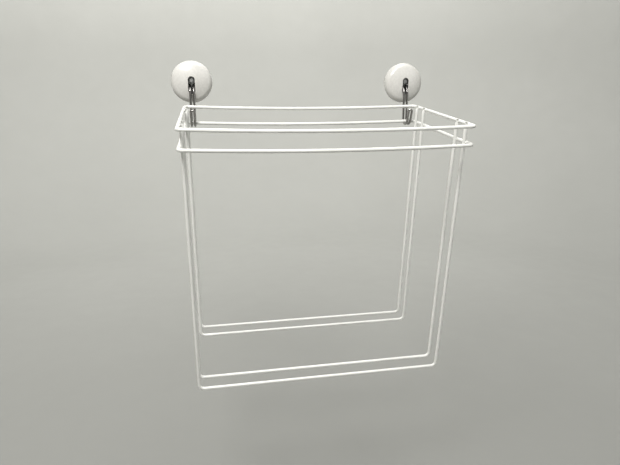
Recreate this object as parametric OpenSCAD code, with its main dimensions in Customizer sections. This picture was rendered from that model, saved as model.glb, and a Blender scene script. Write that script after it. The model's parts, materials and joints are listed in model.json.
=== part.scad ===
// Plastic bag holder: a welded wire frame that hangs on two magnet hooks.
// The steel wall is the plane y = 0 and the holder stands off it towards -y.
// The origin is on the wall, midway between the two magnets, at the height of their centres.

/* [Frame] */
// Width of both rings, wire centre to wire centre
ring_w = 252; // [246:1:320]
// Depth of both rings, wire centre to wire centre
ring_d = 141; // [100:1:200]
// Height between the two rings, wire centre to wire centre
ring_gap = 16.3; // [12:0.1:24]
// Corner radius of the rings, at the wire's centre
ring_corner_r = 5; // [4:0.5:6]
// Diameter of the coated ring wire
ring_wire_d = 3.2; // [2.4:0.1:3.2]
// How far the long rails sag at mid-span
rail_sag = 2.2; // [1:0.1:4]
// Depth of the hanging loops below the upper ring
loop_h = 255; // [180:5:320]
// Corner radius of the hanging loops, at the wire's centre
loop_corner_r = 5; // [4:0.5:10]
// Diameter of the coated loop wire
loop_wire_d = 3; // [2.2:0.1:3]
// Distance of the two outer loops from the long rails
outer_setback = 13; // [10:0.5:20]
// Distance of the two inner loops from the long rails
inner_setback = 31; // [25:0.5:45]

/* [Magnet] */
// Distance of each magnet from the middle
magnet_x = 118; // [112:0.5:118]
// Diameter of the plastic cover
cover_d = 43; // [42:0.5:44]
// How far the cover stands off the wall
cover_h = 13.5; // [13.4:0.1:14]
// Wall thickness of the cover
cover_wall = 1.7; // [1.2:0.1:1.8]
// Outer diameter of the steel cup
cup_d = 39; // [37:0.5:39]
// Thickness of the magnet ring
magnet_h = 3; // [2.5:0.1:3]
// Thickness of the soft pad on the back
pad_h = 0.5; // [0.3:0.1:0.6]

/* [Hook] */
// Diameter of the hook wire
hook_wire_d = 2.4; // [2:0.1:2.4]
// Distance between the hook's two strands
strand_gap = 3.6; // [3.2:0.1:3.7]
// Drop from the hook's axis to the bottom of the hook, at the wire's centre
hook_drop = 42.6; // [40:0.2:56]
// Radius of the hook's bend, at the wire's centre
bend_r = 6.6; // [6:0.1:8]
// How far the open arm of the hook leans outwards
arm_lean = 20; // [10:1:25]
// Length of the hook's straight open arm
arm_len = 10; // [6:0.5:14]

/* [Hidden] */

$fn = 48;
LEFT = -1;
RIGHT = 1;

// Colours
coat_white = [0.93, 0.93, 0.90];
cover_white = [0.90, 0.89, 0.86];
steel = [0.62, 0.63, 0.65];
chrome = [0.80, 0.81, 0.83];
ferrite = [0.16, 0.16, 0.17];
pad_grey = [0.35, 0.35, 0.36];

// Frame: the legs of the loops lie against the inner side of the rings, sunk in by the weld
weld_depth = 0.25;
leg_x = (ring_w - ring_wire_d - loop_wire_d) / 2 + weld_depth;
leg_top = ring_wire_d / 2 - 0.9;
ball_swell = 1.04; // a ball on the wire is this much fatter than the wire
joint_gap = 0.2; // a wire that runs into a ball stops this short of its centre

// Magnet hook, all heights counted from the wall
cup_wall = 1;
cup_base = 1;
cup_front = pad_h + magnet_h + cup_base;
magnet_fit = 0.05;
magnet_bore_d = 20;
cup_fit = 0.05;
cover_side_h = 3.5;
cover_edge_r = 7;
ledge_r = 18.3;
pad_inset = 0.6;
slot_w = 7;
slot_drop = 14.2; // from the stud down to the end of the slot
hinge_up = 1.2; // the stud sits this far above the magnet's centre

bracket_t = 0.8;
bracket_w = 10.2;
bracket_low = -7.4;
bracket_len = 12.8;
ear_h = 3.8;

stud_d = 3;
stud_out = 11;
stud_head_d = 4.2;
stud_head_h = 1.2;
stud_shank_d = 2.4;
stud_tail_d = 4;
stud_tail_h = 0.7;

// The hook's axis, where its two ends are bent outwards into the bracket's ears
axis_up = hinge_up - 4.2;
axis_out = 7.6;
axle_fit = 0.05;
axle_bend_r = 1.9;
axle_end = 6.1;

// Hook, in the plane of its swing: distances out from its axis and down from it
stem_out = 6;
stem_top_drop = 8;
stem_bend_r = 3;
slope_foot = [stem_out - stem_bend_r, stem_top_drop];
slope_lean = atan2(slope_foot.x, slope_foot.y) + asin(stem_bend_r / norm(slope_foot));
slope_len = sqrt(slope_foot * slope_foot - stem_bend_r * stem_bend_r);
bend_out = stem_out + bend_r;
bend_drop = hook_drop - bend_r;
arm_start_out = bend_out + bend_r * cos(arm_lean);
arm_start_drop = bend_drop + bend_r * sin(arm_lean);
tip_out = arm_start_out + arm_len * sin(arm_lean);
tip_drop = arm_start_drop - arm_len * cos(arm_lean);

// The lower ring rests in the hook where the pull on it runs through the hook's axis
seat_gap = 0.3;
seat_r = bend_r - (hook_wire_d + ring_wire_d) / 2 - seat_gap;
seat_angle = atan2(bend_out, bend_drop);
rail_out = axis_out + bend_out + seat_r * sin(seat_angle);
rail_drop = bend_drop + seat_r * cos(seat_angle) - axis_up;

// The frame leans until the foot of its rear loop touches the wall
lean_height = loop_h - ring_gap;
lean_reach = rail_out - loop_wire_d / 2;
lean = asin(lean_reach / norm([lean_height, outer_setback])) + atan2(outer_setback, lean_height);

// ---- wire ----

// A straight wire between two points, stopping short of either by the gap given
module wire(from, to, d, start_gap = 0, end_gap = 0) {
    run = to - from;
    translate(from)
        rotate([0, acos(run.z / norm(run)), atan2(run.y, run.x)])
            translate([0, 0, start_gap])
                cylinder(h = norm(run) - start_gap - end_gap, d = d);
}

// A ball that rounds a wire's free end or joins two wires, its poles turned along the wire
module wire_ball(at, d, turn = [0, 0, 0]) {
    translate(at)
        rotate(turn)
            sphere(d = d * ball_swell);
}

// A wire bent round the z axis, from the x axis on through the angle
module wire_bend(r, angle, d, pieces = 48) {
    rotate_extrude(angle = angle, $fn = pieces)
        translate([r, 0])
            circle(d = d, $fn = 48);
}

// ---- frame, drawn upright with its origin at the middle of the upper rear rail ----

// Puts the frame on its hooks, leaning on the wall
module hung() {
    translate([0, -rail_out, -rail_drop])
        rotate([lean, 0, 0])
            translate([0, 0, ring_gap])
                children();
}

// A long rail: a shallow arc that sags below the line between its ends and stops just short of them
module sagging_rail() {
    half = ring_w / 2 - ring_corner_r;
    arc_r = (half * half + rail_sag * rail_sag) / (2 * rail_sag);
    spread = asin((half - joint_gap) / arc_r);
    translate([0, 0, arc_r - rail_sag])
        rotate([90, 0, 0])
            rotate([0, 0, -90 - spread])
                wire_bend(arc_r, 2 * spread, ring_wire_d, 1440);
}

// One closed ring: two sagging rails, two straight sides and four corners
module ring() {
    side_x = ring_w / 2;
    front_y = -ring_d;
    for (y = [0, front_y])
        translate([0, y, 0])
            sagging_rail();
    for (side = [LEFT, RIGHT])
        wire([side * side_x, -ring_corner_r, 0], [side * side_x, front_y + ring_corner_r, 0], ring_wire_d);
    for (side = [LEFT, RIGHT], y = [0, front_y])
        wire_ball([side * (side_x - ring_corner_r), y, 0], ring_wire_d, [0, 90, 0]);
    for (corner = [[RIGHT, -ring_corner_r, 0], [LEFT, -ring_corner_r, 90],
                   [LEFT, front_y + ring_corner_r, 180], [RIGHT, front_y + ring_corner_r, 270]])
        translate([corner[0] * (side_x - ring_corner_r), corner[1], 0])
            rotate([0, 0, corner[2]])
                wire_bend(ring_corner_r, 90, ring_wire_d);
}

module upper_ring() {
    color(coat_white)
        hung()
            ring();
}

module lower_ring() {
    color(coat_white)
        hung()
            translate([0, 0, -ring_gap])
                ring();
}

// One hanging loop at a distance in front of the rear rails: two legs, two corners and a foot
module loop(setback) {
    foot_x = leg_x - loop_corner_r;
    foot_z = -loop_h + loop_corner_r;
    color(coat_white)
        hung()
            translate([0, -setback, 0]) {
                for (side = [LEFT, RIGHT]) {
                    wire_ball([side * leg_x, 0, leg_top], loop_wire_d);
                    wire([side * leg_x, 0, leg_top], [side * leg_x, 0, foot_z], loop_wire_d);
                }
                wire([-foot_x, 0, -loop_h], [foot_x, 0, -loop_h], loop_wire_d);
                translate([foot_x, 0, foot_z])
                    rotate([-90, 0, 0])
                        wire_bend(loop_corner_r, 90, loop_wire_d);
                translate([-foot_x, 0, foot_z])
                    rotate([-90, 90, 0])
                        wire_bend(loop_corner_r, 90, loop_wire_d);
            }
}

// ---- magnet hook, drawn with z out of the wall and y up ----

// Puts a piece on the wall at the left or right magnet
module on_wall(side) {
    translate([side * magnet_x, 0, 0])
        rotate([90, 0, 0])
            children();
}

// A domed disc: a straight side, a rounded edge and a spherical face that meet smoothly
module dome(rim_r, height, side_h, edge_r) {
    edge_x = rim_r - edge_r;
    rise = height - side_h;
    face_r = (edge_x * edge_x + rise * rise - edge_r * edge_r) / (2 * (rise - edge_r));
    face_z = height - face_r;
    meet = atan2(side_h - face_z, edge_x);
    meet_x = face_r * cos(meet);
    meet_z = face_z + face_r * sin(meet);
    rotate_extrude($fn = 96) {
        polygon([[0, 0], [rim_r, 0], [rim_r, side_h], [edge_x, side_h], [meet_x, meet_z], [0, meet_z]]);
        intersection() {
            translate([edge_x, side_h])
                circle(r = edge_r, $fn = 96);
            translate([edge_x, side_h])
                square([edge_r, edge_r]);
        }
        intersection() {
            translate([0, face_z])
                circle(r = face_r, $fn = 240);
            translate([0, meet_z])
                square([meet_x, height - meet_z]);
        }
    }
}

// The slot that the hook swings in, round at both ends, with the stud in the middle of its upper end
module hook_slot() {
    foot_y = -slot_drop + slot_w / 2;
    translate([0, hinge_up, 0]) {
        cylinder(h = cover_h + 1, d = slot_w);
        translate([-slot_w / 2, foot_y, 0])
            cube([slot_w, -foot_y, cover_h + 1]);
        translate([0, foot_y, 0])
            cylinder(h = cover_h + 1, d = slot_w);
    }
}

module magnet_cover(side) {
    inner_r = cover_d / 2 - cover_wall;
    color(cover_white)
        on_wall(side)
            difference() {
                intersection() {
                    dome(cover_d / 2, cover_h, cover_side_h, cover_edge_r);
                    translate([0, 0, pad_h])
                        cylinder(h = cover_h, d = cover_d + 1);
                }
                translate([0, 0, -1])
                    cylinder(h = cup_front + 1, r = cup_d / 2 + cup_fit);
                intersection() {
                    dome(inner_r, cover_h - cover_wall, cover_side_h, cover_edge_r - cover_wall);
                    cylinder(h = cover_h, r = ledge_r);
                }
                translate([0, 0, cup_front])
                    hook_slot();
            }
}

module steel_cup(side) {
    color(steel)
        on_wall(side)
            difference() {
                translate([0, 0, pad_h])
                    cylinder(h = magnet_h + cup_base, d = cup_d);
                translate([0, 0, pad_h - 1])
                    cylinder(h = magnet_h + 1, d = cup_d - 2 * cup_wall);
                translate([0, hinge_up, 0])
                    cylinder(h = cup_front + 1, d = stud_shank_d);
            }
}

module magnet_disc(side) {
    color(ferrite)
        on_wall(side)
            translate([0, 0, pad_h])
                difference() {
                    cylinder(h = magnet_h, d = cup_d - 2 * cup_wall - 2 * magnet_fit);
                    translate([0, 0, -1])
                        cylinder(h = magnet_h + 2, d = magnet_bore_d);
                }
}

module grip_pad(side) {
    color(pad_grey)
        on_wall(side)
            cylinder(h = pad_h, d = cover_d - 2 * pad_inset);
}

// A bent plate held by the stud, with two ears that the ends of the hook turn in
module hook_bracket(side) {
    color(steel)
        on_wall(side)
            difference() {
                union() {
                    translate([-bracket_w / 2, bracket_low, cup_front])
                        cube([bracket_w, bracket_len, bracket_t]);
                    for (x = [-bracket_w / 2, bracket_w / 2 - bracket_t])
                        translate([x, axis_up, 0]) {
                            translate([0, -ear_h / 2, cup_front])
                                cube([bracket_t, ear_h, axis_out - cup_front]);
                            translate([0, 0, axis_out])
                                rotate([0, 90, 0])
                                    cylinder(h = bracket_t, d = ear_h);
                        }
                }
                translate([-bracket_w, axis_up, axis_out])
                    rotate([0, 90, 0])
                        cylinder(h = 2 * bracket_w, d = hook_wire_d + 2 * axle_fit);
                translate([0, hinge_up, 0])
                    cylinder(h = cover_h, d = stud_shank_d);
            }
}

// A stud through the bracket and the cup: its head shows in the cover's slot, its tail is peened over
module center_stud(side) {
    cup_inside = pad_h + magnet_h;
    shoulder = cup_front + bracket_t;
    color(steel)
        on_wall(side)
            translate([0, hinge_up, 0]) {
                translate([0, 0, cup_inside - stud_tail_h])
                    cylinder(h = stud_tail_h, d = stud_tail_d);
                translate([0, 0, cup_inside])
                    cylinder(h = shoulder - cup_inside, d = stud_shank_d);
                translate([0, 0, shoulder])
                    cylinder(h = stud_out - stud_head_h - shoulder, d = stud_d);
                translate([0, 0, stud_out - stud_head_h])
                    cylinder(h = stud_head_h, d = stud_head_d);
            }
}

// The lower part of a strand in the plane of its swing, x out of the wall and y up from the hook's axis
module hook_strand() {
    slope_end = [stem_out - stem_bend_r * (1 - cos(slope_lean)),
                 -stem_top_drop + stem_bend_r * sin(slope_lean), 0];
    arm_start = [arm_start_out, -arm_start_drop, 0];
    arm_end = [tip_out, -tip_drop, 0];
    translate([stem_out - stem_bend_r, -stem_top_drop, 0])
        wire_bend(stem_bend_r, slope_lean, hook_wire_d);
    wire([stem_out, -stem_top_drop, 0], [stem_out, -bend_drop, 0], hook_wire_d);
    translate([bend_out, -bend_drop, 0])
        rotate([0, 0, 180])
            wire_bend(bend_r, 180 - arm_lean, hook_wire_d);
    wire(arm_start, arm_end, hook_wire_d, joint_gap, joint_gap);
    for (joint = [slope_end, arm_start, arm_end])
        wire_ball(joint, hook_wire_d, [90, 0, 0]);
}

// One half of the hook: the end bent outwards along the axis, the slope and the strand below it
module hook_half() {
    strand_x = strand_gap / 2;
    rotate([-slope_lean, 0, 0]) {
        wire([strand_x + axle_bend_r, 0, 0], [axle_end, 0, 0], hook_wire_d);
        translate([strand_x + axle_bend_r, -axle_bend_r, 0])
            rotate([0, 0, 90])
                wire_bend(axle_bend_r, 90, hook_wire_d);
        wire([strand_x, -axle_bend_r, 0], [strand_x, -slope_len, 0], hook_wire_d, 0, joint_gap);
    }
    translate([strand_x, 0, 0])
        rotate([0, -90, 0])
            hook_strand();
}

// The hook: one wire bent double, its closed end at the tip of the open arm
module wire_hook(side) {
    color(chrome)
        on_wall(side)
            translate([0, axis_up, axis_out]) {
                hook_half();
                mirror([1, 0, 0])
                    hook_half();
                translate([0, -tip_drop, tip_out])
                    rotate([arm_lean, 0, 0])
                        wire_bend(strand_gap / 2, 180, hook_wire_d);
            }
}

upper_ring();
lower_ring();
loop(outer_setback);  // rear_outer_loop
loop(inner_setback);  // rear_inner_loop
loop(ring_d - inner_setback);  // front_inner_loop
loop(ring_d - outer_setback);  // front_outer_loop
magnet_cover(LEFT);  // left_magnet_cover
steel_cup(LEFT);  // left_steel_cup
magnet_disc(LEFT);  // left_magnet_disc
grip_pad(LEFT);  // left_grip_pad
hook_bracket(LEFT);  // left_hook_bracket
center_stud(LEFT);  // left_center_stud
wire_hook(LEFT);  // left_wire_hook
magnet_cover(RIGHT);  // right_magnet_cover
steel_cup(RIGHT);  // right_steel_cup
magnet_disc(RIGHT);  // right_magnet_disc
grip_pad(RIGHT);  // right_grip_pad
hook_bracket(RIGHT);  // right_hook_bracket
center_stud(RIGHT);  // right_center_stud
wire_hook(RIGHT);  // right_wire_hook
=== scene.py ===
"""Plastic bag holder: coated wires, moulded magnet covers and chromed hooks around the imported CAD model."""

import json
import math

import bmesh
import bpy
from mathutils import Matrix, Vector


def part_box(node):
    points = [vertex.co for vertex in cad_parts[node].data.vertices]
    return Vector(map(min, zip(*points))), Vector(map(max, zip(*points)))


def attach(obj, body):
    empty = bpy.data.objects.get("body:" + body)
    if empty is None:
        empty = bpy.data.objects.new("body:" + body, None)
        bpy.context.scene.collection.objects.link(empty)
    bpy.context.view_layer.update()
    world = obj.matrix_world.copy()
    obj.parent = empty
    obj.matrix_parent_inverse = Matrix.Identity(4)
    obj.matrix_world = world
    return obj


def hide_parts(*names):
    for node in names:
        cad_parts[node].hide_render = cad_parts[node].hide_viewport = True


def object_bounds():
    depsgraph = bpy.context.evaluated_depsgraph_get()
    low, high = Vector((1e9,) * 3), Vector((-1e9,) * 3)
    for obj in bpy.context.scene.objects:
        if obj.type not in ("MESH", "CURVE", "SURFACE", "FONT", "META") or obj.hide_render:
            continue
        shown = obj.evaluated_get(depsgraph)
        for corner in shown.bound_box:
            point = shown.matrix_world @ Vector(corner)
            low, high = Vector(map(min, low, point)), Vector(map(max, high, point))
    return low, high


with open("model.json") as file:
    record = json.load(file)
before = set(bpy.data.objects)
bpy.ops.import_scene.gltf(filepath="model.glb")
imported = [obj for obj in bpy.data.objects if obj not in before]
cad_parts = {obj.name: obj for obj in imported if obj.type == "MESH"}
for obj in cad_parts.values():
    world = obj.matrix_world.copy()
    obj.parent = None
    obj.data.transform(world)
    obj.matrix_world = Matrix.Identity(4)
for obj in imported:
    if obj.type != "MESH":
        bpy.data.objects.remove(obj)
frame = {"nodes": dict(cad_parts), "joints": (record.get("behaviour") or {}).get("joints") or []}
CAD_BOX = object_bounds()
MIDDLE = (CAD_BOX[0] + CAD_BOX[1]) / 2

MM = 0.001
SIDES = {"left": -1, "right": 1}
X = Vector((1, 0, 0))
OUT = Vector((0, -1, 0))  # out of the wall
Z = Vector((0, 0, 1))

# Wires: diameters, corner radii and the half sizes of a weld's lump of coating (across, rearwards, up)
RING_WIRE = 3.2 * MM
RING_CORNER = 5 * MM
LOOP_WIRE = 3 * MM
LOOP_CORNER = 5 * MM
HOOK_WIRE = 2.4 * MM
WELD = (0.9 * MM, 1.45 * MM, 1.55 * MM)

# Magnet cover; heights are over the wall
COVER_WALL = 1.7 * MM
COVER_SIDE = 3.5 * MM  # top of the straight side
COVER_SIDE_ROWS = (2.6 * MM, 1.6 * MM)  # rows of points that keep the straight side flat
COVER_EDGE = 7 * MM  # radius between side and dome
COVER_BACK_EDGE = 0.4 * MM  # rounding of the rim's back edge
COVER_LEDGE = 18.3 * MM  # radius where the dome's inside starts
CUP_SPACE = 19.55 * MM  # radius of the space for the cup
CUP_FRONT = 4.5 * MM
SLOT_R = 3.5 * MM
SLOT_FILLET = 0.6 * MM
SLOT_HEAD = 1.2 * MM  # middle of the slot's round head, over the middle of the cover
SLOT_FOOT = -9.5 * MM  # middle of its round foot

# Hook, outwards from its axis and down
STRAND_X = 1.8 * MM
AXLE_END = 6.1 * MM
AXLE_BEND_R = 1.9 * MM
AXLE_CHAMFER = 0.25 * MM
AXLE_END_SHARE = 0.82  # radius of the chamfered end, as a share of the wire's
STEM_OUT = 6 * MM
STEM_TOP_DROP = 8 * MM
STEM_BEND_R = 3 * MM
BEND_R = 6.6 * MM
ARM_LEAN = math.radians(20)
ARM_LEN = 10 * MM

# Wear
SCUFF_R = 7 * MM  # how far from a hook the lower ring's coating is rubbed

# Viewpoint
CAMERA_PLACE = Vector((-0.0974, -0.5750, -0.0339))
CAMERA_TURN = [math.radians(a) for a in (76.76, 0.33, -10.61)]
CAMERA_LENS = 29.27
CAMERA_SENSOR = 36
CAMERA_CLIP = (0.02, 20)

# Stage: a round room about the object's middle
FLOOR_DROP = 0.16
FLOOR_RADII = (0.3, 0.8)
ROOM_R = 1.9
ROOM_CURVE_R = 0.7
ROOM_TOP = 1.5

# Lights: name, place, target (None: the object's middle), size, energy, colour
LIGHTS = (
    ("overhead", (0.2, -0.12, 1.25), (0.05, -0.08, -0.14), (1.3, 0.45), 12, (1.0, 0.99, 0.96)),
    ("key", (-0.4, -0.7, 0.8), None, (0.4, 0.35), 15, (1.0, 0.985, 0.95)),
    ("fill", (0.95, -0.85, 0.25), None, (0.5, 0.7), 0.6, (0.95, 0.98, 1.0)),
    ("rear", (0.35, 1.1, 0.95), None, (0.9, 0.6), 1.5, (1.0, 0.99, 0.97)),
)
# Lights that wash the room's wall: name, sideways, back, energy
BACKDROPS = (("rear", 0, 1, 39), ("left", -1, 0, 15), ("right", 1, 0, 15), ("front", 0, -1, 6))
BACKDROP_OUT = 0.8
BACKDROP_BACK = -0.08
BACKDROP_Z = 1.0
BACKDROP_AIM_UP = 0.5
BACKDROP_SIZE = (1.4, 0.4)
BACKDROP_COLOUR = (1.0, 0.99, 0.96)
WORLD_COLOUR = (0.92, 0.94, 0.96, 1)
WORLD_STRENGTH = 0.14


# ---- mesh helpers ----


def mesh_piece(name, points, faces, sharp_angle=40):
    """A smooth-shaded mesh object with outward normals, sharp where faces meet steeper than the angle."""
    mesh = bpy.data.meshes.new(name)
    mesh.from_pydata([tuple(p) for p in points], [], faces)
    build = bmesh.new()
    build.from_mesh(mesh)
    bmesh.ops.recalc_face_normals(build, faces=build.faces)
    build.to_mesh(mesh)
    build.free()
    mesh.shade_smooth()
    mesh.set_sharp_from_angle(angle=math.radians(sharp_angle))
    piece = bpy.data.objects.new(name, mesh)
    bpy.context.scene.collection.objects.link(piece)
    return piece


def joined(parts):
    """Several (points, faces) as one."""
    points, faces = [], []
    for more_points, more_faces in parts:
        first = len(points)
        points += more_points
        faces += [[first + i for i in face] for face in more_faces]
    return points, faces


def directions(path, closed):
    """The wire's direction at each point of its path."""
    last = len(path) - 1
    found = []
    for i in range(len(path)):
        before = path[i - 1] if i or closed else path[0]
        after = path[(i + 1) % len(path)] if i < last or closed else path[last]
        found.append((after - before).normalized())
    return found


def tube(path, radii, closed=False, sides=28):
    """A round wire along a path: a ring of points round each path point, carried along without twist."""
    along = directions(path, closed)
    across = along[0].orthogonal().normalized()
    carried = []
    for direction in along:
        across = (across - direction * across.dot(direction)).normalized()
        carried.append(across)
    twist = 0.0
    if closed:
        home = (across - along[0] * across.dot(along[0])).normalized()
        twist = math.atan2(home.cross(carried[0]).dot(along[0]), home.dot(carried[0]))
    points, faces = [], []
    for i, (centre, direction, side, radius) in enumerate(zip(path, along, carried, radii)):
        up = direction.cross(side)
        share = twist * i / len(path)
        for k in range(sides):
            angle = share + 2 * math.pi * k / sides
            points.append(centre + radius * (side * math.cos(angle) + up * math.sin(angle)))
    for i in range(len(path) if closed else len(path) - 1):
        here, there = i * sides, (i + 1) % len(path) * sides
        for k in range(sides):
            after = (k + 1) % sides
            faces.append([here + k, here + after, there + after, there + k])
    if not closed:
        faces.append(list(range(sides)))
        faces.append([(len(path) - 1) * sides + k for k in range(sides)])
    return points, faces


def arc(centre, start, end, angle, steps):
    """Points on an arc: from centre + start, turning towards centre + end's direction through the angle."""
    return [
        centre + start * math.cos(angle * i / steps) + end * math.sin(angle * i / steps)
        for i in range(steps + 1)
    ]


def line(start, end, steps):
    """Points at equal steps from start to end."""
    return [start.lerp(end, i / steps) for i in range(steps + 1)]


def chained(*stretches):
    """Stretches of a path put end to end, each shared point kept once."""
    path = []
    for stretch in stretches:
        for point in stretch:
            if not path or (point - path[-1]).length > 1e-7:
                path.append(point)
    return path


def rounded_end(path, radius, steps=6):
    """The path's first stretch drawn again as a rounded end: points and radii of a half ball at its start."""
    direction = (path[1] - path[0]).normalized()
    points, radii = [], []
    for i in range(steps):
        angle = math.pi / 2 * (i + 0.15) / steps
        points.append(path[0] + direction * radius * (1 - math.sin(angle)))
        radii.append(radius * math.cos(math.pi / 2 - angle))
    return points, radii


# ---- places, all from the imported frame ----


def reach(node, direction):
    """The lowest and highest reach of a CAD node along a direction."""
    found = [v.co.dot(direction) for v in frame["nodes"][node].data.vertices]
    return min(found), max(found)


RING_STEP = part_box("upper_ring")[0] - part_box("lower_ring")[0]
UP = Vector((0, RING_STEP.y, RING_STEP.z)).normalized()
REAR = UP.cross(X)


def hung(x, rear, up):
    """A point given along the leaning frame's own axes."""
    return X * x + REAR * rear + UP * up


def ring_piece(node):
    """A closed rounded rectangle of wire whose long sides sag, fitted to the ring's CAD node."""
    high_x = reach(node, X)[1]
    front, rear = reach(node, REAR)
    bottom, top = reach(node, UP)
    r = RING_WIRE / 2
    side_x, front, rear, level = high_x - r, front + r, rear - r, top - r
    sag = level - (bottom + r)
    half = side_x - RING_CORNER

    def rail(y, sign, steps=48):
        """From one end to the other, sagging in the middle."""
        shares = [-1 + 2 * i / steps for i in range(steps + 1)]
        return [hung(sign * s * half, y, level - sag * (1 - s * s)) for s in shares]

    def corner(sign, y, start, end):
        """A quarter turn at one end of the rail at y, from the start direction to the end direction."""
        inner_y = y - RING_CORNER if y == rear else y + RING_CORNER
        centre = hung(sign * half, inner_y, level)
        return arc(centre, start * RING_CORNER, end * RING_CORNER, math.pi / 2, 8)

    def short_side(sign, start, end, steps=16):
        """A straight side between two corners, from one distance rearwards to another."""
        return line(hung(sign * side_x, start, level), hung(sign * side_x, end, level), steps)

    path = chained(
        rail(rear, 1),
        corner(1, rear, REAR, X),
        short_side(1, rear - RING_CORNER, front + RING_CORNER),
        corner(1, front, X, -REAR),
        rail(front, -1),
        corner(-1, front, -REAR, -X),
        short_side(-1, front + RING_CORNER, rear - RING_CORNER),
        corner(-1, rear, -X, REAR),
    )[:-1]
    return mesh_piece(node + "_wire", *tube(path, [r] * len(path), closed=True))


def weld(centre, size, steps=12):
    """A small smooth lump of coating that fills the joint between two crossing wires."""
    points, faces = [centre + UP * size[2]], []
    for i in range(1, steps):
        tilt = math.pi * i / steps
        for k in range(2 * steps):
            turn = math.pi * k / steps
            flat = math.sin(tilt)
            points.append(
                centre
                + X * size[0] * flat * math.cos(turn)
                + REAR * size[1] * flat * math.sin(turn)
                + UP * size[2] * math.cos(tilt)
            )
    points.append(centre - UP * size[2])
    last, row = len(points) - 1, 2 * steps
    for k in range(row):
        after = (k + 1) % row
        faces.append([0, 1 + k, 1 + after])
        faces.append([last, last - row + after, last - row + k])
        for i in range(steps - 2):
            here = 1 + i * row
            faces.append([here + k, here + row + k, here + row + after, here + after])
    return points, faces


def loop_piece(node):
    """A U of wire with rounded ends, fitted to the loop's CAD node, and its four welds to the rings."""
    high_x = reach(node, X)[1]
    near, far = reach(node, REAR)
    bottom, top = reach(node, UP)
    r = LOOP_WIRE / 2
    leg_x, y, foot = high_x - r, (near + far) / 2, bottom + r
    turn_x, turn_z = leg_x - LOOP_CORNER, foot + LOOP_CORNER
    down = -UP * LOOP_CORNER
    body = chained(
        line(hung(-leg_x, y, top), hung(-leg_x, y, turn_z), 60),
        arc(hung(-turn_x, y, turn_z), -X * LOOP_CORNER, down, math.pi / 2, 10),
        line(hung(-turn_x, y, foot), hung(turn_x, y, foot), 60),
        arc(hung(turn_x, y, turn_z), down, X * LOOP_CORNER, math.pi / 2, 10),
        line(hung(leg_x, y, turn_z), hung(leg_x, y, top), 60),
    )
    start, start_r = rounded_end(body, r)
    end, end_r = rounded_end(body[::-1], r)
    path = start[::-1] + body[1:-1] + end
    radii = start_r[::-1] + [r] * (len(body) - 2) + end_r
    parts = [tube(path, radii)]
    for ring in ("upper_ring", "lower_ring"):
        side_x = reach(ring, X)[1] - RING_WIRE / 2
        level = reach(ring, UP)[1] - RING_WIRE / 2
        contact_x = ((leg_x + r) + (side_x - RING_WIRE / 2)) / 2
        for side in SIDES.values():
            parts.append(weld(hung(side * contact_x, y, level), WELD))
    return mesh_piece(node + "_wire", *joined(parts))


# ---- magnet covers ----


def slot_point(turn):
    """The edge of the slot seen from its middle: a round head, straight sides and a round foot."""
    middle = (SLOT_HEAD + SLOT_FOOT) / 2
    right, up = math.cos(turn), math.sin(turn)
    hits = []
    for centre_y in (SLOT_HEAD, SLOT_FOOT):
        rise = (centre_y - middle) * up
        room = SLOT_R * SLOT_R - ((centre_y - middle) * right) ** 2
        if room > 0:
            hits.append(rise + math.sqrt(room))
    if abs(right) > 1e-6:
        beside = SLOT_R / abs(right)
        if SLOT_FOOT <= middle + beside * up <= SLOT_HEAD:
            hits.append(beside)
    far = max(hits)
    return right * far, middle + up * far


def rim_point(turn, radius):
    """Where the ray from the slot's middle meets a circle round the cover's middle."""
    middle = (SLOT_HEAD + SLOT_FOOT) / 2
    right, up = math.cos(turn), math.sin(turn)
    far = -middle * up + math.sqrt(radius * radius - (middle * right) ** 2)
    return right * far, middle + up * far


def dome_height(radius, shrink):
    """Height of the dome over the wall, or of its inner face when the wall's thickness is taken off."""
    rim, top, edge = COVER_RIM - shrink, COVER_TOP - shrink, COVER_EDGE - shrink
    edge_x, rise = rim - edge, top - COVER_SIDE
    face_r = (edge_x**2 + rise**2 - edge**2) / (2 * (rise - edge))
    face_z = top - face_r
    meet = math.atan2(COVER_SIDE - face_z, edge_x)
    if radius < face_r * math.cos(meet):
        return face_z + math.sqrt(face_r**2 - radius**2)
    return COVER_SIDE + math.sqrt(max(edge**2 - (radius - edge_x) ** 2, 0))


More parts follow.
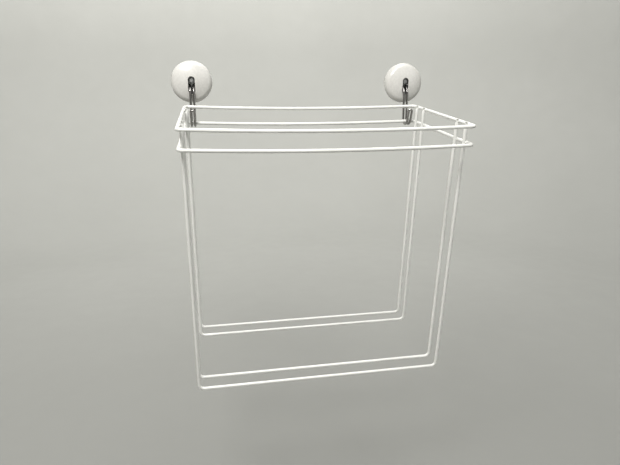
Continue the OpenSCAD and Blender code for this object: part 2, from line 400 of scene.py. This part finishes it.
def cover_piece(name, side):
    """A closed shell lofted from the slot's edge over the dome to the rim and back along its inside."""
    turns = [2 * math.pi * k / 144 for k in range(144)]
    rings = []

    def dome_ring(share, radius, shrink, drop=0.0, inset=0.0):
        """A ring on the dome or its inner face, at a share of the way from the slot's edge to the radius."""
        ring = []
        for turn in turns:
            kx, ky = slot_point(turn)
            cx, cy = rim_point(turn, radius)
            start_x, start_y = kx + inset * math.cos(turn), ky + inset * math.sin(turn)
            x, y = start_x + (cx - start_x) * share, start_y + (cy - start_y) * share
            ring.append((x, y, dome_height(math.hypot(x, y), shrink) - drop))
        rings.append(ring)

    def round_ring(radius, height):
        """A circle round the cover's middle at one height."""
        rings.append([(*rim_point(turn, radius), height) for turn in turns])

    for i in range(6):
        angle = math.pi / 2 * i / 5
        drop, inset = SLOT_FILLET * (1 - math.sin(angle)), SLOT_FILLET * (1 - math.cos(angle))
        dome_ring(0, COVER_RIM, 0, drop, inset)
    for i in range(1, 29):
        dome_ring(1 - (1 - i / 28) ** 2, COVER_RIM, 0, 0, SLOT_FILLET)
    for height in COVER_SIDE_ROWS:
        round_ring(COVER_RIM, height)
    for i in range(5):
        angle = math.pi / 2 * i / 4
        radius = COVER_RIM - COVER_BACK_EDGE * (1 - math.cos(angle))
        round_ring(radius, COVER_BACK + COVER_BACK_EDGE * (1 - math.sin(angle)))
    round_ring(CUP_SPACE, COVER_BACK)
    round_ring(CUP_SPACE, CUP_FRONT)
    round_ring(COVER_LEDGE, CUP_FRONT)
    for i in range(13):
        dome_ring(1 - i / 12, COVER_LEDGE, COVER_WALL)
    count = len(turns)
    points = [
        X * (side * MAGNET_X + x) + Z * (COVER_Z + y) + OUT * height
        for ring in rings
        for x, y, height in ring
    ]
    faces = []
    for i in range(len(rings)):
        here, there = i * count, (i + 1) % len(rings) * count
        for k in range(count):
            after = (k + 1) % count
            faces.append([here + k, here + after, there + after, there + k])
    return mesh_piece(name, points, faces)


# ---- hooks ----


def hook_piece(name, side):
    """One wire bent double: from one axle end down the slope, round the bend and the tip, and back."""

    def strand(turn):
        """One of the two strands, from its axle end to the end of its arm, and the arm's direction."""

        def at(across, out, up):
            return X * (side * MAGNET_X + turn * across) + OUT * (AXIS_OUT + out) + Z * (AXIS_Z + up)

        foot = Vector((STEM_OUT - STEM_BEND_R, STEM_TOP_DROP))
        slope_lean = math.atan2(foot.x, foot.y) + math.asin(STEM_BEND_R / foot.length)
        slope_len = math.sqrt(foot.length_squared - STEM_BEND_R**2)
        slope = OUT * math.sin(slope_lean) - Z * math.cos(slope_lean)
        elbow = STRAND_X + AXLE_BEND_R
        bend = STEM_OUT + BEND_R
        axle = line(at(AXLE_END, 0, 0), at(elbow, 0, 0), 4)
        start, end = -slope * AXLE_BEND_R, -X * turn * AXLE_BEND_R
        elbow_arc = arc(at(elbow, 0, 0) + slope * AXLE_BEND_R, start, end, math.pi / 2, 12)
        slope_foot = at(STRAND_X, 0, 0) + slope * slope_len
        shin = []
        for i in range(11):
            a = slope_lean * (1 - i / 10)
            out, up = STEM_OUT - STEM_BEND_R * (1 - math.cos(a)), STEM_BEND_R * math.sin(a) - STEM_TOP_DROP
            shin.append(at(STRAND_X, out, up))
        stem = line(shin[-1], at(STRAND_X, STEM_OUT, -BEND_DROP), 16)
        hook = arc(at(STRAND_X, bend, -BEND_DROP), -OUT * BEND_R, -Z * BEND_R, math.pi - ARM_LEAN, 28)
        lean = OUT * math.sin(ARM_LEAN) + Z * math.cos(ARM_LEAN)
        arm = line(hook[-1], hook[-1] + lean * ARM_LEN, 6)
        return chained(axle, elbow_arc, line(elbow_arc[-1], slope_foot, 8), shin, stem, hook, arm), lean

    first, lean = strand(-1)
    second, _ = strand(1)
    middle = (first[-1] + second[-1]) / 2
    tip = arc(middle, -X * STRAND_X, lean * STRAND_X, math.pi, 18)
    path = chained(first, tip, second[::-1])
    radii = [HOOK_WIRE / 2] * len(path)
    radii[0] = radii[-1] = AXLE_END_SHARE * HOOK_WIRE / 2
    for end, inner in ((0, 1), (-1, -2)):
        inward = (path[inner] - path[end]).normalized()
        spot = 1 if end == 0 else len(path) - 1
        path.insert(spot, path[end] + inward * AXLE_CHAMFER)
        radii.insert(spot, HOOK_WIRE / 2)
    return mesh_piece(name, *tube(path, radii))


# The right hook's axis, and the right cover's middle, rim and faces
AXES = {j["name"].split("_")[0]: j["pos_m"] for j in frame["joints"] if j["type"] == "hinge"}
MAGNET_X = AXES["right"][0]
AXIS_OUT = -AXES["right"][1]
AXIS_Z = AXES["right"][2]
COVER_LOW, COVER_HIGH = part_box("right_magnet_cover")
COVER_Z = (COVER_LOW.z + COVER_HIGH.z) / 2
COVER_RIM = (COVER_HIGH.x - COVER_LOW.x) / 2
COVER_TOP = -COVER_LOW.y
COVER_BACK = -COVER_HIGH.y
# How far the middle of the hook's bend lies under the axis
BEND_DROP = AXIS_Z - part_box("right_wire_hook")[0].z - HOOK_WIRE / 2 - BEND_R


# ---- materials ----


class Look:
    """A material's nodes: small helpers that add and join them."""

    def __init__(self, name):
        self.material = bpy.data.materials.new(name)
        self.material.use_nodes = True
        self.tree = self.material.node_tree
        self.shader = self.tree.nodes["Principled BSDF"]
        self.place = self.add("ShaderNodeTexCoord").outputs["Object"]

    def add(self, kind, **values):
        """A node of the kind with its settings and inputs given by name."""
        node = self.tree.nodes.new(kind)
        for key, value in values.items():
            if hasattr(node, key):
                setattr(node, key, value)
            else:
                node.inputs[key.replace("_", " ")].default_value = value
        return node

    def join(self, source, target):
        self.tree.links.new(source, target)

    def noise(self, scale, detail=4.0, roughness=0.55):
        """Noise in object space, as many cells to the metre as the scale says."""
        node = self.add("ShaderNodeTexNoise", Scale=scale, Detail=detail, Roughness=roughness)
        self.join(self.place, node.inputs["Vector"])
        return node.outputs["Fac"]

    def spread(self, source, low, high, start=0.3, end=0.7):
        """A value that runs from low to high as the source runs from start to end."""
        node = self.add("ShaderNodeMapRange")
        for key, value in (("From Min", start), ("From Max", end), ("To Min", low), ("To Max", high)):
            node.inputs[key].default_value = value
        self.join(source, node.inputs["Value"])
        return node.outputs["Result"]

    def blend(self, share, low, high):
        """A colour between two, each a colour or a socket."""
        node = self.add("ShaderNodeMix", data_type="RGBA")
        self.join(share, node.inputs["Factor"])
        for slot, value in ((6, low), (7, high)):
            if isinstance(value, tuple):
                node.inputs[slot].default_value = (*value, 1)
            else:
                self.join(value, node.inputs[slot])
        return node.outputs[2]

    def bump(self, height, depth, below=None):
        """A bumped normal of the depth, on top of another one if it is given."""
        node = self.add("ShaderNodeBump")
        node.inputs["Strength"].default_value = 1.0
        node.inputs["Distance"].default_value = depth
        self.join(height, node.inputs["Height"])
        if below is not None:
            self.join(below, node.inputs["Normal"])
        return node.outputs["Normal"]

    def near(self, points, radius):
        """1 at the points, falling to 0 at the radius."""
        total = None
        for point in points:
            gap = self.add("ShaderNodeVectorMath", operation="DISTANCE")
            self.join(self.place, gap.inputs[0])
            gap.inputs[1].default_value = point
            share = self.spread(gap.outputs["Value"], 1.0, 0.0, 0.0, radius)
            if total is None:
                total = share
            else:
                both = self.add("ShaderNodeMath", operation="MAXIMUM")
                self.join(total, both.inputs[0])
                self.join(share, both.inputs[1])
                total = both.outputs[0]
        return total

    def times(self, first, second):
        node = self.add("ShaderNodeMath", operation="MULTIPLY")
        self.join(first, node.inputs[0])
        self.join(second, node.inputs[1])
        return node.outputs[0]

    def finish(self, colour, roughness, normal, **plain):
        """The material, with its sockets joined to the shader and plain values set by name."""
        self.join(colour, self.shader.inputs["Base Color"])
        self.join(roughness, self.shader.inputs["Roughness"])
        self.join(normal, self.shader.inputs["Normal"])
        for key, value in plain.items():
            self.shader.inputs[key.replace("_", " ")].default_value = value
        return self.material


def coated_wire_look(name, scuffs=()):
    """White plastic-coated steel wire: satin, with a faint orange peel, and rubbed grey at the scuffs."""
    look = Look(name)
    shade = look.spread(look.noise(38, 3), 0, 1)
    colour = look.blend(shade, (0.80, 0.80, 0.775), (0.86, 0.86, 0.84))
    roughness = look.spread(look.noise(160, 5), 0.30, 0.42)
    if scuffs:
        worn = look.times(look.near(scuffs, SCUFF_R), look.spread(look.noise(900, 4), 0, 1, 0.45, 0.62))
        colour = look.blend(worn, colour, (0.42, 0.42, 0.41))
    peel = look.bump(look.noise(1100, 2), 0.012 * MM)
    waves = look.bump(look.noise(240, 2), 0.05 * MM, peel)
    return look.finish(colour, roughness, waves, Coat_Weight=0.25, Coat_Roughness=0.18)


def cover_look():
    """White moulded plastic: soft gloss, very faint flow shading and fine scratches."""
    look = Look("cover_plastic")
    colour = look.blend(look.spread(look.noise(55, 3), 0, 1), (0.62, 0.61, 0.585), (0.68, 0.67, 0.645))
    roughness = look.spread(look.noise(420, 6, 0.7), 0.20, 0.34)
    normal = look.bump(look.noise(1500, 3), 0.006 * MM)
    return look.finish(colour, roughness, normal, Coat_Weight=0.3, Coat_Roughness=0.12)


def chrome_painted_reflection_look():
    """Chrome plate, its base colour darkened to mid grey as a painted dark reflection of the room, with the
    faint draw marks of the wire under it.
    """
    look = Look("chrome_wire")
    # Painted reflection: the dark grey base colour stands in for the dark room the chrome would reflect.
    colour = look.blend(look.spread(look.noise(300, 4), 0, 1), (0.33, 0.32, 0.31), (0.42, 0.41, 0.40))
    roughness = look.spread(look.noise(1400, 5), 0.07, 0.17)
    normal = look.bump(look.noise(700, 3), 0.012 * MM)
    return look.finish(colour, roughness, normal, Metallic=1.0)


def plated_steel_look():
    """Zinc plate: dull, slightly spangled and blotchy."""
    look = Look("plated_steel")
    cells = look.add("ShaderNodeTexVoronoi", Scale=900.0)
    look.join(look.place, cells.inputs["Vector"])
    spangle = look.spread(cells.outputs["Distance"], 0, 1, 0.1, 0.7)
    colour = look.blend(spangle, (0.50, 0.51, 0.52), (0.60, 0.60, 0.60))
    roughness = look.spread(look.noise(600, 5), 0.30, 0.48)
    normal = look.bump(look.noise(1800, 4), 0.01 * MM)
    return look.finish(colour, roughness, normal, Metallic=1.0)


def ferrite_look():
    """Sintered ferrite: near black, grainy and dull."""
    look = Look("ferrite")
    grain = look.spread(look.noise(1600, 6, 0.7), 0, 1)
    colour = look.blend(grain, (0.035, 0.035, 0.038), (0.075, 0.074, 0.075))
    roughness = look.spread(look.noise(900, 5), 0.55, 0.8)
    normal = look.bump(look.noise(2200, 5), 0.04 * MM)
    return look.finish(colour, roughness, normal)


def pad_look():
    """Thin dark rubber: matt, with a fine moulded grain and a little dust."""
    look = Look("pad_rubber")
    dust = look.spread(look.noise(260, 6, 0.7), 0, 1, 0.4, 0.75)
    colour = look.blend(dust, (0.055, 0.055, 0.058), (0.11, 0.108, 0.105))
    roughness = look.spread(look.noise(500, 4), 0.72, 0.92)
    normal = look.bump(look.noise(2600, 2), 0.05 * MM)
    return look.finish(colour, roughness, normal)


def paint(piece, material):
    """The material as the piece's only one."""
    piece.data.materials.clear()
    piece.data.materials.append(material)


# ---- stage ----


def revolved(name, profile, steps=96):
    """A surface turned round the upright line through the object's middle."""
    points, faces = [], []
    for radius, height in profile:
        for k in range(steps):
            angle = 2 * math.pi * k / steps
            x, y = MIDDLE.x + radius * math.cos(angle), MIDDLE.y + radius * math.sin(angle)
            points.append(Vector((x, y, height)))
    for i in range(len(profile) - 1):
        for k in range(steps):
            after = (k + 1) % steps
            here, there = i * steps, (i + 1) * steps
            faces.append([here + k, here + after, there + after, there + k])
    faces.append(list(range(steps)))
    return mesh_piece(name, points, faces)


def stage():
    """A pale floor that curves up into a plain wall all round, well clear of every viewpoint."""
    floor_z = CAD_BOX[0].z - FLOOR_DROP
    profile = [(radius, floor_z) for radius in FLOOR_RADII]
    for i in range(17):
        angle = math.pi / 2 * i / 16
        radius = ROOM_R - ROOM_CURVE_R + ROOM_CURVE_R * math.sin(angle)
        profile.append((radius, floor_z + ROOM_CURVE_R * (1 - math.cos(angle))))
    profile.append((ROOM_R, ROOM_TOP))
    floor = revolved("stage_floor", profile)
    look = Look("stage_paper")
    colour = look.blend(look.spread(look.noise(3, 2), 0, 1), (0.263, 0.265, 0.251), (0.273, 0.275, 0.261))
    roughness = look.spread(look.noise(20, 3), 0.75, 0.85)
    paint(floor, look.finish(colour, roughness, look.bump(look.noise(90, 2), 0.1 * MM)))


def area_light(name, place, target, size, energy, colour):
    """A rectangular light at a place, facing a target."""
    light = bpy.data.lights.new(name, "AREA")
    light.shape = "RECTANGLE"
    light.size, light.size_y = size
    light.energy = energy
    light.color = colour
    holder = bpy.data.objects.new(name, light)
    holder.location = place
    holder.rotation_mode = "QUATERNION"
    holder.rotation_quaternion = (Vector(target) - Vector(place)).to_track_quat("-Z", "Y")
    bpy.context.scene.collection.objects.link(holder)


def lights():
    """The lights on the object, the ones on the room's wall and an even light from the world."""
    for name, place, target, size, energy, colour in LIGHTS:
        area_light(name, place, target or MIDDLE, size, energy, colour)
    for name, sideways, back, energy in BACKDROPS:
        place = Vector((BACKDROP_OUT * sideways, BACKDROP_OUT * back + BACKDROP_BACK, BACKDROP_Z))
        target = MIDDLE + Vector((ROOM_R * sideways, ROOM_R * back, BACKDROP_AIM_UP))
        area_light(name + "_backdrop", place, target, BACKDROP_SIZE, energy, BACKDROP_COLOUR)
    world = bpy.data.worlds.new("studio")
    world.use_nodes = True
    background = world.node_tree.nodes["Background"]
    background.inputs["Color"].default_value = WORLD_COLOUR
    background.inputs["Strength"].default_value = WORLD_STRENGTH
    bpy.context.scene.world = world


def tone():
    """Plain display tones, so that white plastic stays white."""
    bpy.context.scene.view_settings.view_transform = "Standard"


def camera():
    """The photo's viewpoint."""
    data = bpy.data.cameras.new("viewpoint")
    data.sensor_width = CAMERA_SENSOR
    data.lens = CAMERA_LENS
    data.clip_start, data.clip_end = CAMERA_CLIP
    holder = bpy.data.objects.new("viewpoint", data)
    holder.location = CAMERA_PLACE
    holder.rotation_euler = CAMERA_TURN
    bpy.context.scene.collection.objects.link(holder)
    bpy.context.scene.camera = holder


# ---- assembly ----


def stand_for(piece, body, node, material):
    """The painted piece rides on the body in place of the CAD node."""
    paint(piece, material)
    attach(piece, body)
    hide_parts(node)


camera()
coated = coated_wire_look("coated_wire")
rail_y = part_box("lower_ring")[1].y - RING_WIRE / 2
rail_top = AXIS_Z - (BEND_DROP + BEND_R - HOOK_WIRE / 2) + RING_WIRE
contacts = [(side * MAGNET_X, rail_y, rail_top) for side in SIDES.values()]
worn = coated_wire_look("coated_wire_rubbed", contacts)
for ring in ("upper_ring", "lower_ring"):
    stand_for(ring_piece(ring), "frame", ring, worn if ring == "lower_ring" else coated)
for loop in ("rear_outer_loop", "rear_inner_loop", "front_inner_loop", "front_outer_loop"):
    stand_for(loop_piece(loop), "frame", loop, coated)

plastic, chrome = cover_look(), chrome_painted_reflection_look()
plated, magnet, rubber = plated_steel_look(), ferrite_look(), pad_look()
for side_name, side in SIDES.items():
    cover = cover_piece(side_name + "_cover_shell", side)
    stand_for(cover, "magnet_bases", side_name + "_magnet_cover", plastic)
    hook = hook_piece(side_name + "_hook_wire", side)
    stand_for(hook, side_name + "_hook", side_name + "_wire_hook", chrome)
    for part, material in (
        ("steel_cup", plated),
        ("magnet_disc", magnet),
        ("grip_pad", rubber),
        ("hook_bracket", plated),
        ("center_stud", plated),
    ):
        paint(frame["nodes"][f"{side_name}_{part}"], material)

stage()
lights()
tone()
